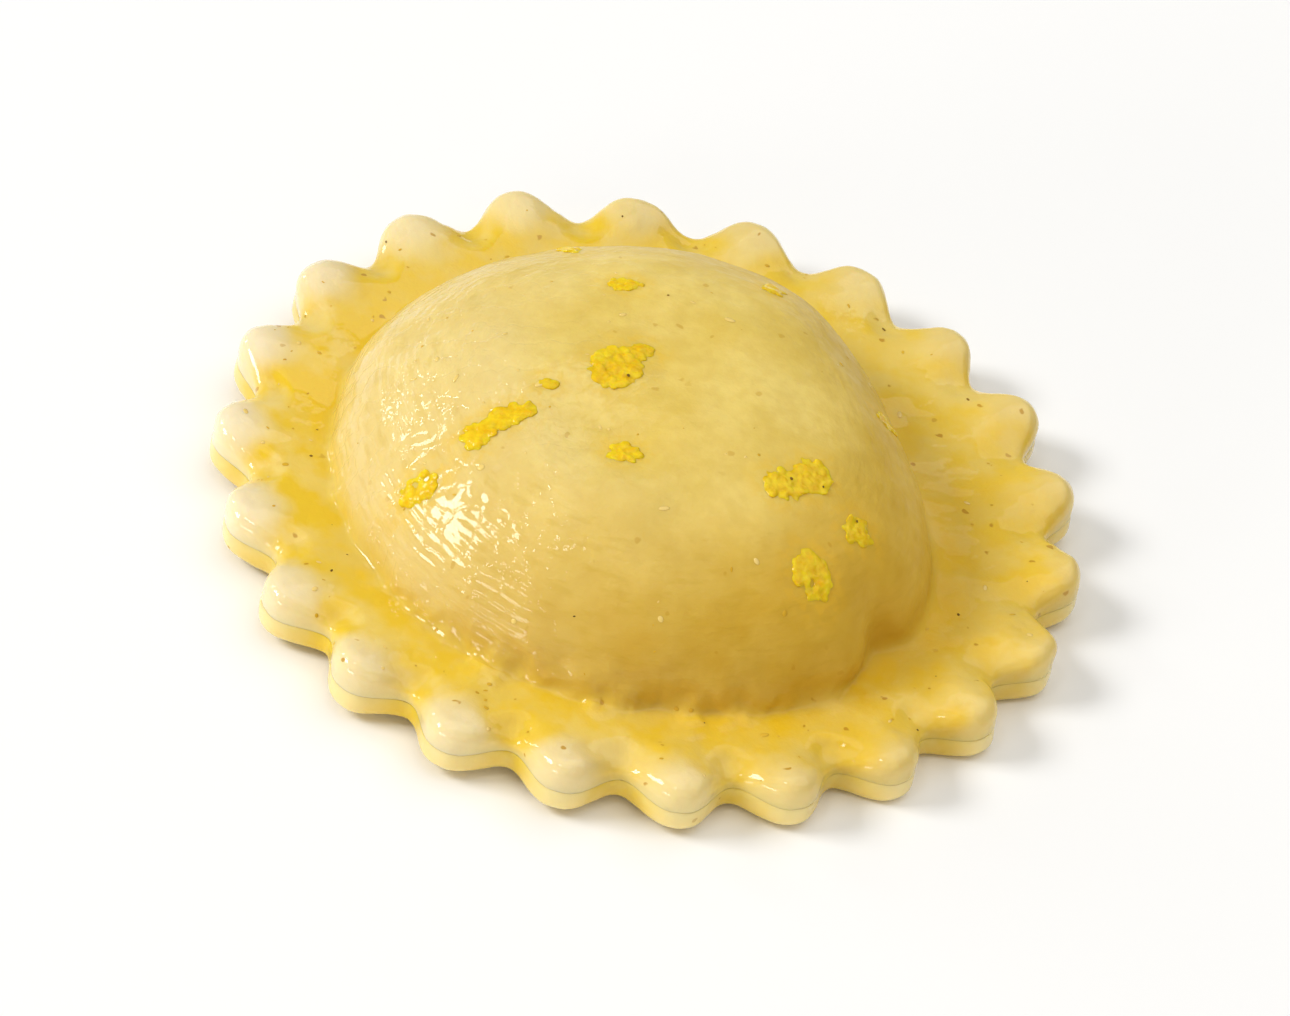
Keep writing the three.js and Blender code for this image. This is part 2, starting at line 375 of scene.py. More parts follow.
# %% Each scallop a little different
UNEVEN_REACH, UNEVEN_TURN, UNEVEN_HEIGHT = 0.16, 0.06, 0.12
NOTCH_GROOVE, LEFT_GROOVE = 0.5, 0.25
GROOVE_FROM, GROOVE_TO = 27.5, 32.0
FURTHEST = 1.6
scallop_draw = np.random.default_rng(5).normal(size=(3, SCALLOPS))
scallop_draw = np.clip(scallop_draw, -FURTHEST, FURTHEST)
print("scallops reach up to", round(UNEVEN_REACH * abs(scallop_draw[1]).max(), 2), "mm off even")


def blend(first, second, share):
    """The first value at share 0, the second at share 1."""
    return first + (second - first) * share


def by_scallop(values, turn):
    """A value for each scallop, blended smoothly across the notches."""
    lobe = np.floor(turn).astype(int)
    share = ease(turn - lobe, 0, 1)
    return values[lobe % SCALLOPS] * (1 - share) + values[(lobe + 1) % SCALLOPS] * share


def cut_line(turn):
    """The cut edge with each scallop's own reach and place, and its fullness."""
    angle, radius, fullness = edge_at(turn + UNEVEN_TURN * by_scallop(scallop_draw[0], turn))
    return angle, radius + UNEVEN_REACH * by_scallop(scallop_draw[1], turn), fullness


def scallop_relief(x, y, turn, fullness):
    """How much the flange's top is off even: scallops of unequal height, and a groove at each notch."""
    height = UNEVEN_HEIGHT * by_scallop(scallop_draw[2], turn)
    groove = blend(NOTCH_GROOVE, LEFT_GROOVE, towards(np.arctan2(y, x), 175, 60))
    return (height - groove * (1 - fullness) ** 2) * ease(np.hypot(x, y), GROOVE_FROM, GROOVE_TO)


# %% Drape the sheet over the mound
def drape(length, turn):
    """Where a point of the flat sheet comes to lie, from its length from the crown and its turn."""
    angle, rim, fullness = cut_line(turn)
    on_mound = length <= FOOT_LENGTH
    out = np.where(on_mound, np.interp(length, section_length, section_out), 1)
    rise = np.where(on_mound, np.interp(length, section_length, section_up), 0)
    foot = foot_radius(angle, rise)
    foot_x, foot_y = MOUND_MIDDLE[0] + foot * np.cos(angle), MOUND_MIDDLE[1] + foot * np.sin(angle)
    along = np.clip((length - RIM_LENGTH) / (EDGE_STEP * EDGE_RINGS) * EDGE_SPAN, 0, EDGE_SPAN)
    inset, share, drop = upper_edge_section(along)
    edge_x, edge_y = (rim - inset) * np.cos(angle), (rim - inset) * np.sin(angle)
    across = np.clip((length - FOOT_LENGTH) / (RIM_LENGTH - FOOT_LENGTH), 0, 1)
    x = np.where(on_mound, blend(MOUND_MIDDLE[0], foot_x, out), blend(foot_x, edge_x, across))
    y = np.where(on_mound, blend(MOUND_MIDDLE[1], foot_y, out), blend(foot_y, edge_y, across))
    seam = underside(x, y) + SHEET + SEAM_GAP / 2
    top = flange_top(x, y, fullness) + scallop_relief(x, y, turn, fullness)
    return x, y, blend(seam, top, share) + MOUND_HEIGHT * rise - drop


flat = points_of(pasta_top) / MM
sheet_length = np.hypot(flat[:, 0], flat[:, 1])
sheet_turn = np.arctan2(flat[:, 1], flat[:, 0]) / TURN * SCALLOPS
move_points(pasta_top, from_mm(*drape(sheet_length, sheet_turn)))

# %% Close the underside of the upper sheet
select_vertices(pasta_top, sheet_length > RIM_LENGTH + EDGE_STEP * (EDGE_RINGS - 0.1))
bpy.ops.mesh.extrude_region_move()
bpy.ops.transform.resize(value=(0.5, 0.5, 1), center_override=(0, 0, 0))
close_to_a_point()

# %% Keep the corner sharp where the side turns into the seam
CORNER_RING = 12
at_corner = abs(sheet_length - RIM_LENGTH - EDGE_STEP * CORNER_RING) < EDGE_STEP / 10
at_corner = np.append(at_corner, np.zeros(len(pasta_top.data.vertices) - len(at_corner), dtype=bool))
select_vertices(pasta_top, at_corner)
bpy.ops.mesh.mark_sharp()
object_mode()
count(pasta_top)

# %% [markdown]
# ## Softening the sheet
# The formula leaves a hard corner where the mound meets the trough, but boiled dough can't hold one. A Smooth
# modifier that acts only near the foot, through a vertex group, turns it into a fillet. Displace modifiers
# with cloud textures then add what cooking leaves: broad unevenness over soft curds of filling, facets and
# short ripples on the left where the sheet hangs slack, and pleats at the foot of the front wall. Each one is
# held back by its own group, so that the cut edge and the underside keep their size.

# %% Round the foot of the mound
FILLET_REACH, FRONT_REACH = 1.8, 1.1
PAST_THE_EDGE = 99.0
new_points = len(pasta_top.data.vertices) - len(sheet_length)
sheet_length = np.append(sheet_length, np.full(new_points, PAST_THE_EDGE))
sheet_turn = np.append(sheet_turn, np.zeros(new_points))
sheet_angle, _, sheet_fullness = cut_line(sheet_turn)
front = towards(sheet_angle, 275, 55)
near_foot = np.exp(-(((sheet_length - FOOT_LENGTH) / (FILLET_REACH + FRONT_REACH * front)) ** 2))
weight_group(pasta_top, "foot", near_foot)
apply_modifier(pasta_top, "SMOOTH", factor=0.5, iterations=40, vertex_group="foot")


# %% Cloud textures for unevenness
def clouds(name, size_mm, depth=1):
    texture = bpy.data.textures.new(name, "CLOUDS")
    texture.noise_scale = size_mm * MM
    texture.noise_depth = depth
    return texture


def bump_up(piece, texture, height_mm, group):
    apply_modifier(piece, "DISPLACE", texture=texture, texture_coords="LOCAL", mid_level=0.5,
                   strength=height_mm * MM, vertex_group=group)


# %% Broad unevenness over the curds of filling
open_top = 1 - ease(sheet_length, RIM_LENGTH - 1, RIM_LENGTH + 1.5)
weight_group(pasta_top, "open_top", open_top)
bump_up(pasta_top, clouds("filling_curds", 8.0), 0.55, "open_top")

# %% Facets and ripples where the sheet hangs slack
slack = towards(sheet_angle, 200, 62) * ease(sheet_length, 8, 14) * (1 - ease(sheet_length, 27, 30))
weight_group(pasta_top, "slack", slack)
bump_up(pasta_top, clouds("slack_facets", 3.0, depth=1), 0.18, "slack")
bump_up(pasta_top, clouds("slack_ripples", 1.5, depth=1), 0.05, "slack")

# %% Pleats and creases at the foot, deepest on the front
pleated = np.maximum(towards(sheet_angle, 275, 60), 0.4 * towards(sheet_angle, 210, 50))
weight_group(pasta_top, "pleated_foot", near_foot * pleated)
bump_up(pasta_top, clouds("foot_pleats", 4.0, depth=2), 2.4, "pleated_foot")
bump_up(pasta_top, clouds("foot_creases", 1.7, depth=1), 0.35, "pleated_foot")

# %% Pressed dough of the flange, fainter on the cut edge
flange = ease(sheet_length, FOOT_LENGTH - 1, FOOT_LENGTH + 2)
flange *= 1 - 0.5 * ease(sheet_length, RIM_LENGTH, RIM_LENGTH + 3.5)
flange[sheet_length > RIM_LENGTH + 3.2] = 0
weight_group(pasta_top, "flange", flange)
bump_up(pasta_top, clouds("pressed_dough", 3.4, depth=2), 0.5, "flange")
bump_up(pasta_top, clouds("wet_flange", 1.6, depth=1), 0.12, "flange")

# %% Fine ripples of the dome's skin
dome = 1 - ease(sheet_length, FOOT_LENGTH - 3, FOOT_LENGTH)
weight_group(pasta_top, "dome", dome)
bump_up(pasta_top, clouds("skin_ripples", 2.2, depth=2), 0.11, "dome")

# %% [markdown]
# ## Butter in the trough
# Melted butter finds its level: it fills the gutter round the mound and creeps up the walls. The film is made
# in the same surface, by lifting the points that lie below a level line that follows the flange. Where film
# and dough meet, a soft maximum leaves the hollow meniscus that catches the light.

# %% Fill the trough
FILM_LEVEL = -0.20
FILM_SOFTNESS = 0.10
MENISCUS = 0.12
FILM_WAVE = [[1, 0.14, 180], [3, 0.05, 40], [7, 0.05, 10], [11, 0.04, 70]]
FULL_DEPTH = 0.40

wet = points_of(pasta_top) / MM
wet_x, wet_y = wet[:, 0] + MIDDLE[0], wet[:, 1] + MIDDLE[1]
level = underside(wet_x, wet_y) + 2 * SHEET + FILM_LEVEL + waves(FILM_WAVE, sheet_angle)
in_trough = ease(sheet_length, FOOT_LENGTH - 2.5, FOOT_LENGTH - 0.5)
in_trough *= 1 - ease(sheet_length, RIM_LENGTH - 2.5, RIM_LENGTH)
gain = level - wet[:, 2]
lift = FILM_SOFTNESS * np.logaddexp(0, gain / FILM_SOFTNESS)
lift = np.minimum(lift, np.maximum(gain, 0) + MENISCUS) * in_trough
wet[:, 2] += lift
move_points(pasta_top, wet * MM)
print("deepest butter, mm:", lift.max().round(2))

# %% [markdown]
# ## Where the sheet is soaked or glossy, and where light and shade are painted
# Butter that stood on the dough or soaked into it made it a stronger yellow, above all in the trough and the
# notches. The lower walls away from the window, mostly on the front, are painted a darker, deeper yellow as
# painted shade, and so is the side turned away from the window. The tips of the scallops stayed drier and
# pale, and are painted lighter still towards the window as painted light. The slack left side carries the
# butter film that shines and is painted lighter as painted light; the far side is nearly matt. Each of these
# is worked out as 0 to 1 at every point, from its length from the crown and its angle, and is kept as an
# attribute of the mesh, which the material reads.

# %% Soaked places, painted shade on the walls, and tips lighter by painted light
strong = 0.8 + 0.2 * np.maximum(towards(sheet_angle, 195, 60), towards(sheet_angle, 110, 25))
lit_side = towards(sheet_angle, 185, 62)
notch = 1 - sheet_fullness
# On the right the soaked deep yellow reaches further out, which also paints shade there.
soak_end = RIM_LENGTH - 5.0 + 6.0 * notch + 3.0 * towards(sheet_angle, 345, 60)
soaked = 0.85 * ease(sheet_length, FOOT_LENGTH - 2, FOOT_LENGTH + 1.5)
soaked *= 1 - ease(sheet_length, soak_end, soak_end + 3)
# Painted shade: the lower walls away from the window, mostly on the front, are made a darker, deeper yellow.
painted_wall_shade = ease(sheet_length, 11, 26) * (1 - ease(sheet_length, FOOT_LENGTH - 1, FOOT_LENGTH + 1))
painted_wall_shade *= (1 - 0.85 * lit_side) * (1 - 0.5 * towards(sheet_angle, 0, 50))
butter = np.maximum(np.clip(lift / FULL_DEPTH, 0, 1), soaked) * strong
# The tips are pale, and painted lighter still on the side towards the window: painted light.
rim = ease(sheet_length, RIM_LENGTH - 4.5, RIM_LENGTH + 0.5) * (0.3 + 0.7 * sheet_fullness)
rim *= 0.2 + 0.8 * np.maximum(lit_side, 0.6 * towards(sheet_angle, 252, 40))

# %% Mound, wall, painted shade on the side turned away, and the butter film
mound = 1 - ease(sheet_length, FOOT_LENGTH - 2.5, FOOT_LENGTH)
wall = mound * ease(sheet_length, 10, 18)
# Painted shade: the side turned away from the window, on the right and front, is darkened to a deeper yellow;
# it also gets less coat.
painted_shade_side = towards(sheet_angle, 335, 62) * ease(sheet_length, 10, 22)
painted_shade_side *= 1 - 0.7 * ease(sheet_length, RIM_LENGTH - 6, RIM_LENGTH - 1)
gloss = (1 - 0.85 * mound * (1 - towards(sheet_angle, 205, 62))) * (1 - 0.75 * painted_shade_side)
still_film = towards(sheet_angle, 224, 17) * ease(sheet_length, 13, 16)
still_film *= 1 - ease(sheet_length, 22, 25)
rippled = towards(sheet_angle, 247, 11) * ease(sheet_length, 19, 22)
rippled *= 1 - ease(sheet_length, FOOT_LENGTH - 1.5, FOOT_LENGTH)

# %% The stain of juice round each clump of zest
STAIN_REACH = 1.2
stain = np.zeros(len(wet))
for x, y, length, width, turn in ZEST:
    away_x, away_y, angle = wet_x - x, wet_y - y, math.radians(turn)
    along = (away_x * math.cos(angle) + away_y * math.sin(angle)) / (length / 2 + STAIN_REACH)
    across = (away_y * math.cos(angle) - away_x * math.sin(angle)) / (width / 2 + STAIN_REACH)
    stain = np.maximum(stain, np.exp(-(along**2 + across**2) ** 2))


# %% Keep them as attributes, with the sheet's own coordinates
SKIN_WRAP = 20.0
kept = {"butter": butter, "painted_wall_shade": painted_wall_shade, "rim": rim, "mound": mound, "wall": wall, "gloss": gloss,
        "wrinkled": slack, "zest_stain": stain, "painted_shade_side": painted_shade_side, "still_film": still_film,
        "rippled": rippled}
for name, values in kept.items():
    keep_attribute(pasta_top, name, "FLOAT", values)
skin = np.stack([SKIN_WRAP * np.cos(sheet_angle), SKIN_WRAP * np.sin(sheet_angle), sheet_length], axis=-1)
keep_attribute(pasta_top, "skin", "FLOAT_VECTOR", skin * MM)
only(pasta_top)
bpy.ops.object.shade_smooth()
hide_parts("domed_top")
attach(pasta_top, "root")
count(pasta_top)

# %% [markdown]
# ## The lower sheet
# The lower sheet shows only as the lower half of the cut edge, and stands out a little from the upper one.
# It is made from a round face that grows ring by ring: out under the upper sheet, round the cut edge, and
# back in underneath to the flat face that it rests on. Extruding an outline would give a square edge.

# %% The lower sheet's rings
BASE_STEPS_A_SCALLOP = 24
BASE_STEPS = SCALLOPS * BASE_STEPS_A_SCALLOP
SIDE_INSET = 0.17
FOOT_INSET = 1.2
SIDE_TOP, SIDE_FOOT = 0.6, 0.45
SHOULDER_RINGS, UNDER_RINGS = 6, 6
HIDDEN_INSETS = [14, 4]
UNDER_INSETS = [2.5, 4.5, 7.0, 10.0, 13.0]


def base_sections():
    """Inset, share of the thickness and share of the way up to the upper sheet, from the top face down."""
    rings = [(inset, 1, 1) for inset in HIDDEN_INSETS + [SEAM_DEEP_INSET, SEAM_INSET]]
    for ring in range(1, SHOULDER_RINGS + 1):
        bend = ring / SHOULDER_RINGS * math.pi / 2
        inset = SIDE_INSET + (SEAM_INSET - SIDE_INSET) * (1 - math.sin(bend))
        rings.append((inset, SIDE_TOP + (1 - SIDE_TOP) * math.cos(bend), 1 - ring / SHOULDER_RINGS))
    for ring in range(UNDER_RINGS + 1):
        bend = ring / UNDER_RINGS * math.pi / 2
        inset = SIDE_INSET + (FOOT_INSET - SIDE_INSET) * (1 - math.cos(bend))
        rings.append((inset, SIDE_FOOT * (1 - math.sin(bend)), 0))
    return rings + [(inset, 0, 0) for inset in UNDER_INSETS]


def base_ring(inset, share, up):
    """One ring of points, from its row of the sections."""
    angle, radius, _ = cut_line(np.arange(BASE_STEPS) / BASE_STEPS_A_SCALLOP)
    x, y = (radius - inset) * np.cos(angle), (radius - inset) * np.sin(angle)
    z = underside(x, y) + (SHEET - SEAM_GAP / 2) * share + (SEAM_GAP / 2 - SHEETS_APART / 2) * up
    return from_mm(x, y, z)


# %% Grow the lower sheet
deselect_all()
bpy.ops.mesh.primitive_circle_add(vertices=BASE_STEPS, radius=FLAT_RADIUS * MM, fill_type="TRIFAN")
pasta_base = bpy.context.object
pasta_base.name = "pasta_base"
sections = base_sections()
edit_mode()
bpy.ops.mesh.select_all(action="SELECT")
bpy.ops.mesh.region_to_loop()
for _ in sections[1:]:
    bpy.ops.mesh.extrude_region_move()
object_mode()
centre = from_mm(np.zeros(1), np.zeros(1), np.full(1, SHEET - SHEETS_APART / 2))
move_points(pasta_base, np.concatenate([centre] + [base_ring(*section) for section in sections]))
only(pasta_base)
edit_mode()
close_to_a_point()

# %% A sharp corner at the seam, an uneven cut, and the attributes
CENTRE_INSET = 30
ring_inset = np.repeat([section[0] for section in sections], BASE_STEPS)
ring_inset = np.concatenate([[CENTRE_INSET], ring_inset, [CENTRE_INSET]])
select_vertices(pasta_base, ring_inset == SEAM_INSET)
bpy.ops.mesh.mark_sharp()
object_mode()
weight_group(pasta_base, "cut_edge", 1 - ease(ring_inset, 0.7, 1.2))
bump_up(pasta_base, clouds("cut_dough", 3.4, depth=2), 0.3, "cut_edge")
base_fullness = np.tile(cut_line(np.arange(BASE_STEPS) / BASE_STEPS_A_SCALLOP)[2], len(sections))
base_fullness = np.concatenate([[0], base_fullness, [0]])
base_points = points_of(pasta_base)
none = np.zeros(len(ring_inset))
base_values = {"butter": 0.8 * (1 - base_fullness), "rim": 0.2 + 0.8 * base_fullness, "gloss": none + 0.8}
for name in kept:
    keep_attribute(pasta_base, name, "FLOAT", base_values.get(name, none))
keep_attribute(pasta_base, "skin", "FLOAT_VECTOR", base_points)
only(pasta_base)
bpy.ops.object.shade_smooth()
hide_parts("base_sheet")
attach(pasta_base, "root")
print("lowest point, mm:", (base_points[:, 2].min() / MM).round(4))
count(pasta_base)

# %% [markdown]
# ## Lemon zest
# A fine grater leaves zest as little ragged clumps of curled crumbs. Each clump is a handful of small
# flattened balls thrown down inside the clump's outline, fused into one skin by a voxel Remesh, and roughened
# by a cloud texture, which is quicker than sculpting each clump and as ragged. They lie where the solid has
# its flecks. The finished sheet is asked for its height and slope, so that nothing floats.

# %% Where things land on the sheet
surface = BVHTree.FromObject(pasta_top, bpy.context.evaluated_depsgraph_get())
DOWN = Vector((0, 0, -1))
ABOVE = 0.1


def land(x, y):
    """The point and the normal of the sheet below a place given in millimetres."""
    point, normal, _, _ = surface.ray_cast(Vector(((x - MIDDLE[0]) * MM, (y - MIDDLE[1]) * MM, ABOVE)), DOWN)
    return point, normal


# %% Crumbs of zest
CRUMB_AREA = 0.12
CRUMB = (1.15, 0.85, 0.27)
CRUMB_LIFT, CRUMB_SINK = 0.13, 0.09
CRUMB_TIP = 0.12
CRUMB_SPREAD = 0.46
CRUMB_SMALL, CRUMB_LARGE = 0.55, 1.25
VOXEL = 0.085
TEAR_SIZE, TEAR_HEIGHT = 0.45, 0.13
draw = np.random.default_rng(11)


def basis_on(normal, turn):
    """Turns +Z to a normal, after a turn about it."""
    lean_to = normal.to_track_quat("Z", "Y").to_matrix()
    return lean_to @ Matrix.Rotation(turn, 3, "Z")


def crumb_matrix(clump):
    """The place, turn and size of one crumb, drawn at random inside the clump's outline."""
    x, y, length, width, turn = clump
    out, around = math.sqrt(draw.random()) * CRUMB_SPREAD, draw.random() * TURN
    along, across = out * math.cos(around) * length, out * math.sin(around) * width
    angle = math.radians(turn)
    px = x + along * math.cos(angle) - across * math.sin(angle)
    py = y + along * math.sin(angle) + across * math.cos(angle)
    point, normal = land(px, py)
    lift = (CRUMB_LIFT * draw.random() - CRUMB_SINK) * MM
    size = [s * draw.uniform(CRUMB_SMALL, CRUMB_LARGE) * MM for s in CRUMB]
    tip = Matrix.Rotation(draw.normal() * CRUMB_TIP, 3, "Y")
    turned = basis_on(normal, draw.random() * TURN) @ tip @ Matrix.Diagonal(size)
    return Matrix.Translation(point + normal * lift) @ turned.to_4x4()


# %% Throw the crumbs down and fuse them
def copies_of(name, shape, matrices):
    """One mesh from copies of a small shape, one for each matrix."""
    corners = points_of(shape)
    faces = np.array([list(p.vertices) for p in shape.data.polygons])
    placed = []
    for matrix in matrices:
        turned = np.array(matrix)
        placed.append(corners @ turned[:3, :3].T + turned[:3, 3])
    shifted = [faces + index * len(corners) for index in range(len(placed))]
    mesh = bpy.data.meshes.new(name)
    mesh.from_pydata(np.concatenate(placed).tolist(), [], np.concatenate(shifted).tolist())
    piece = bpy.data.objects.new(name, mesh)
    bpy.context.collection.objects.link(piece)
    return piece


def small_ball():
    deselect_all()
    bpy.ops.mesh.primitive_ico_sphere_add(subdivisions=2, radius=0.5)
    return bpy.context.object


def remove(piece):
    bpy.data.objects.remove(piece, do_unlink=True)


ball = small_ball()
matrices = []
for clump in ZEST:
    crumbs = 2 + round(clump[2] * clump[3] * math.pi / 4 / CRUMB_AREA)
    matrices += [crumb_matrix(clump) for _ in range(crumbs)]
zest_clumps = copies_of("zest_clumps", ball, matrices)
remove(ball)
apply_modifier(zest_clumps, "REMESH", mode="VOXEL", voxel_size=VOXEL * MM)
apply_modifier(zest_clumps, "DISPLACE", texture=clouds("zest_tears", TEAR_SIZE, depth=2),
               texture_coords="LOCAL", mid_level=0.5, strength=TEAR_HEIGHT * MM)
apply_modifier(zest_clumps, "SMOOTH", factor=0.5, iterations=2)
only(zest_clumps)
bpy.ops.object.shade_smooth()
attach(zest_clumps, "root")
count(zest_clumps)

# %% [markdown]
# ## Butter drops, zest dust and specks of spice
# A few drops of butter stand on the sheet as tiny flattened beads, most of them on the wetter left. Zest dust
# and ground spice lie all over the rim and the trough, and thinly on the dome. Each kind is one mesh made of
# copies of a small ball with few faces, because there are many of them. Geometry Nodes could scatter them,
# but a seeded draw in a short loop is easier to steer and gives the same each time.

# %% Scatter by a rule
SIZE_SPREAD = 0.38
STEEPEST = 0.15
LENGTHS, WIDTHS = (0.8, 1.8), (0.6, 1.0)


def scatter(number, inner, outer, size_mm, flatness, likely):
    """Matrices for small things spread over a ring of the sheet. likely gives the chance of a place."""
    found = []
    while len(found) < number:
        radius = math.sqrt(draw.uniform(inner**2, outer**2))
        angle = draw.random() * TURN
        if draw.random() > likely(angle, radius):
            continue
        point, normal = land(radius * math.cos(angle), radius * math.sin(angle))
        if point is None or normal.z < STEEPEST:
            continue
        size = math.exp(draw.normal() * SIZE_SPREAD) * size_mm * MM
        shape = [size * draw.uniform(*LENGTHS), size * draw.uniform(*WIDTHS), size * flatness]
        turned = basis_on(normal, draw.random() * TURN) @ Matrix.Diagonal(shape)
        found.append(Matrix.Translation(point) @ turned.to_4x4())
    return found


def scattered(name, matrices):
    """One piece made of a small ball at each place."""
    grain = small_ball()
    piece = copies_of(name, grain, matrices)
    remove(grain)
    only(piece)
    bpy.ops.object.shade_smooth()
    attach(piece, "root")
    count(piece)
    return piece


# %% Butter drops, more of them on the wetter left
def wetter_left(angle, radius):
    return 0.25 + 0.75 * float(towards(np.array(angle), 205, 65))


drop_places = scatter(number=70, inner=4, outer=33, size_mm=0.34, flatness=0.2, likely=wetter_left)
butter_drops = scattered("butter_drops", drop_places)

# %% Zest dust and ground spice, thin on the dome
def more_outside(angle, radius):
    return 0.12 + 0.88 * float(ease(radius, 20, 26))


dust_places = scatter(number=110, inner=0, outer=33, size_mm=0.22, flatness=0.2, likely=more_outside)
zest_dust = scattered("zest_dust", dust_places)
SPECKS_ON_ZEST = [[-3.4, -2.3, 0.3], [10.6, -8.6, 0.3], [13.1, -8.0, 0.2], [16.2, -9.2, 0.25]]
SPECK_SHAPE = (1, 0.8, 0.5)
SPECK_LIFT = 0.18


def speck_on(x, y, size):
    """A speck of spice on top of a clump of zest."""
    point, normal = land(x, y)
    shape = Matrix.Diagonal([share * size * MM for share in SPECK_SHAPE])
    return Matrix.Translation(point + normal * SPECK_LIFT * MM) @ (basis_on(normal, x) @ shape).to_4x4()


speck_places = scatter(number=18, inner=0, outer=33, size_mm=0.19, flatness=0.25, likely=more_outside)
speck_places += [speck_on(*speck) for speck in SPECKS_ON_ZEST]
spice_specks = scattered("spice_specks", speck_places)

# %% [markdown]
# ## Materials
# Colours are written as the sRGB hex values that a colour picker gives, and turned to the linear values that
# the renderer needs. They are mixed by noises and by the attributes of the mesh. Painted images could do
# the same, but noises have no seams and stay sharp from close by. One function adds a node with its links.

# %% Colour and node helpers
def linear(hex_colour):
    values = [int(hex_colour[i:i + 2], 16) / 255 for i in (1, 3, 5)]
    return [v / 12.92 if v <= 0.04045 else ((v + 0.055) / 1.055) ** 2.4 for v in values] + [1.0]


def node(tree, kind, settings=None, inputs=None):
    """Adds a ShaderNode of a kind. An input is a number, a colour, or an output to link from."""
    made = tree.nodes.new("ShaderNode" + kind)
    for key, value in (settings or {}).items():
        setattr(made, key, value)
    for key, value in (inputs or {}).items():
        if isinstance(value, bpy.types.NodeSocket):
            tree.links.new(value, made.inputs[key])
        else:
            made.inputs[key].default_value = value
    return made


def new_material(name, **sockets):
    """A material with one Principled shader. Numbers that are the same all over go on its sockets."""
    material = bpy.data.materials.new(name)
    material.use_nodes = True
    shader = material.node_tree.nodes["Principled BSDF"]
    for key, value in sockets.items():
        shader.inputs[key.replace("_", " ")].default_value = value
    return material.node_tree, shader, material


def give(piece, material):
    piece.data.materials.clear()
    piece.data.materials.append(material)


# %% [markdown]
# ### Buttered egg pasta
# Egg yolk makes the dough yellow, and boiling swells its starch, so light goes a millimetre or two into it
# and comes out warmer: that is subsurface scattering. Rolled dough is faintly mottled, with fine streaks the
# way it was stretched, and ochre flecks of zest and spice lie in it. Where butter is deep the dough looks a
# strong yellow. The tips of the scallops stayed drier and are the palest part, with painted light making
# them lighter still towards the window. The left of the mound is painted lighter as painted light, and the
# lower walls and the side turned away from the window are painted darker, as painted shade. The same
# material goes on the lower sheet, with tips of a warmer tone. It has many nodes, so a class gives them short
# names.

# %% Short names for the nodes of a pattern
def per_mm(size_mm):
    """The scale that gives a pattern of one size, in metres on Object coordinates."""
    return 1 / (size_mm * MM)


class Patterns:
    """Adds patterns to one material. Each method adds a node and returns its output. Sizes are in mm."""

    def __init__(self, tree):
        self.tree = tree
        self.place = node(tree, "TexCoord").outputs["Object"]
        self.skin = self.attribute("skin", "Vector")
        self.here = {name: self.attribute(name, "Fac") for name in kept}
        inputs = {"Vector": self.place, "Scale": per_mm(0.9), "Detail": 1}
        wander = node(tree, "TexNoise", {}, inputs).outputs["Color"]
        self.warped = node(tree, "VectorMath", {"operation": "MULTIPLY_ADD"}, {
            0: wander, 1: (0.9 * MM,) * 3, 2: self.place}).outputs["Vector"]

    def attribute(self, name, output):
        return node(self.tree, "Attribute", {"attribute_name": name}).outputs[output]

    def noise(self, size_mm, detail=2, vector=None):
        vector = self.place if vector is None else vector
        inputs = {"Vector": vector, "Scale": per_mm(size_mm), "Detail": detail}
        return node(self.tree, "TexNoise", {}, inputs).outputs["Fac"]

    def cells(self, size_mm, feature):
        """Ragged cells, from places that are pushed about a little."""
        inputs = {"Vector": self.warped, "Scale": per_mm(size_mm)}
        return node(self.tree, "TexVoronoi", {"feature": feature}, inputs).outputs

    def between(self, value, low, high, to_low=0.0, to_high=1.0):
        """A smooth step from one value to another."""
        ends = {"From Min": low, "From Max": high, "To Min": to_low, "To Max": to_high}
        smooth = {"interpolation_type": "SMOOTHSTEP"}
        return node(self.tree, "MapRange", smooth, {"Value": value, **ends}).outputs["Result"]

    def mixed(self, factor, first, second, blend_type="MIX"):
        settings = {"data_type": "RGBA", "blend_type": blend_type}
        inputs = {"Factor": factor, 6: first, 7: second}
        return node(self.tree, "Mix", settings, inputs).outputs[2]

    def combined(self, operation, *values):
        total = values[0]
        for value in values[1:]:
            step = node(self.tree, "Math", {"operation": operation}, {0: total, 1: value})
            total = step.outputs["Value"]
        return total

    def times(self, *values):
        return self.combined("MULTIPLY", *values)

    def bump(self, height):
        inputs = {"Height": height, "Strength": 1.0, "Distance": MM}
        return node(self.tree, "Bump", {}, inputs).outputs["Normal"]


# %% Streaks the way the dough was stretched
def dough_streaks(p):
    stretch = node(p.tree, "Mapping", {}, {"Vector": p.skin, "Scale": (1, 1, 3.2)})
    return p.times(p.noise(2.4, 4, stretch.outputs["Vector"]), p.here["wall"])


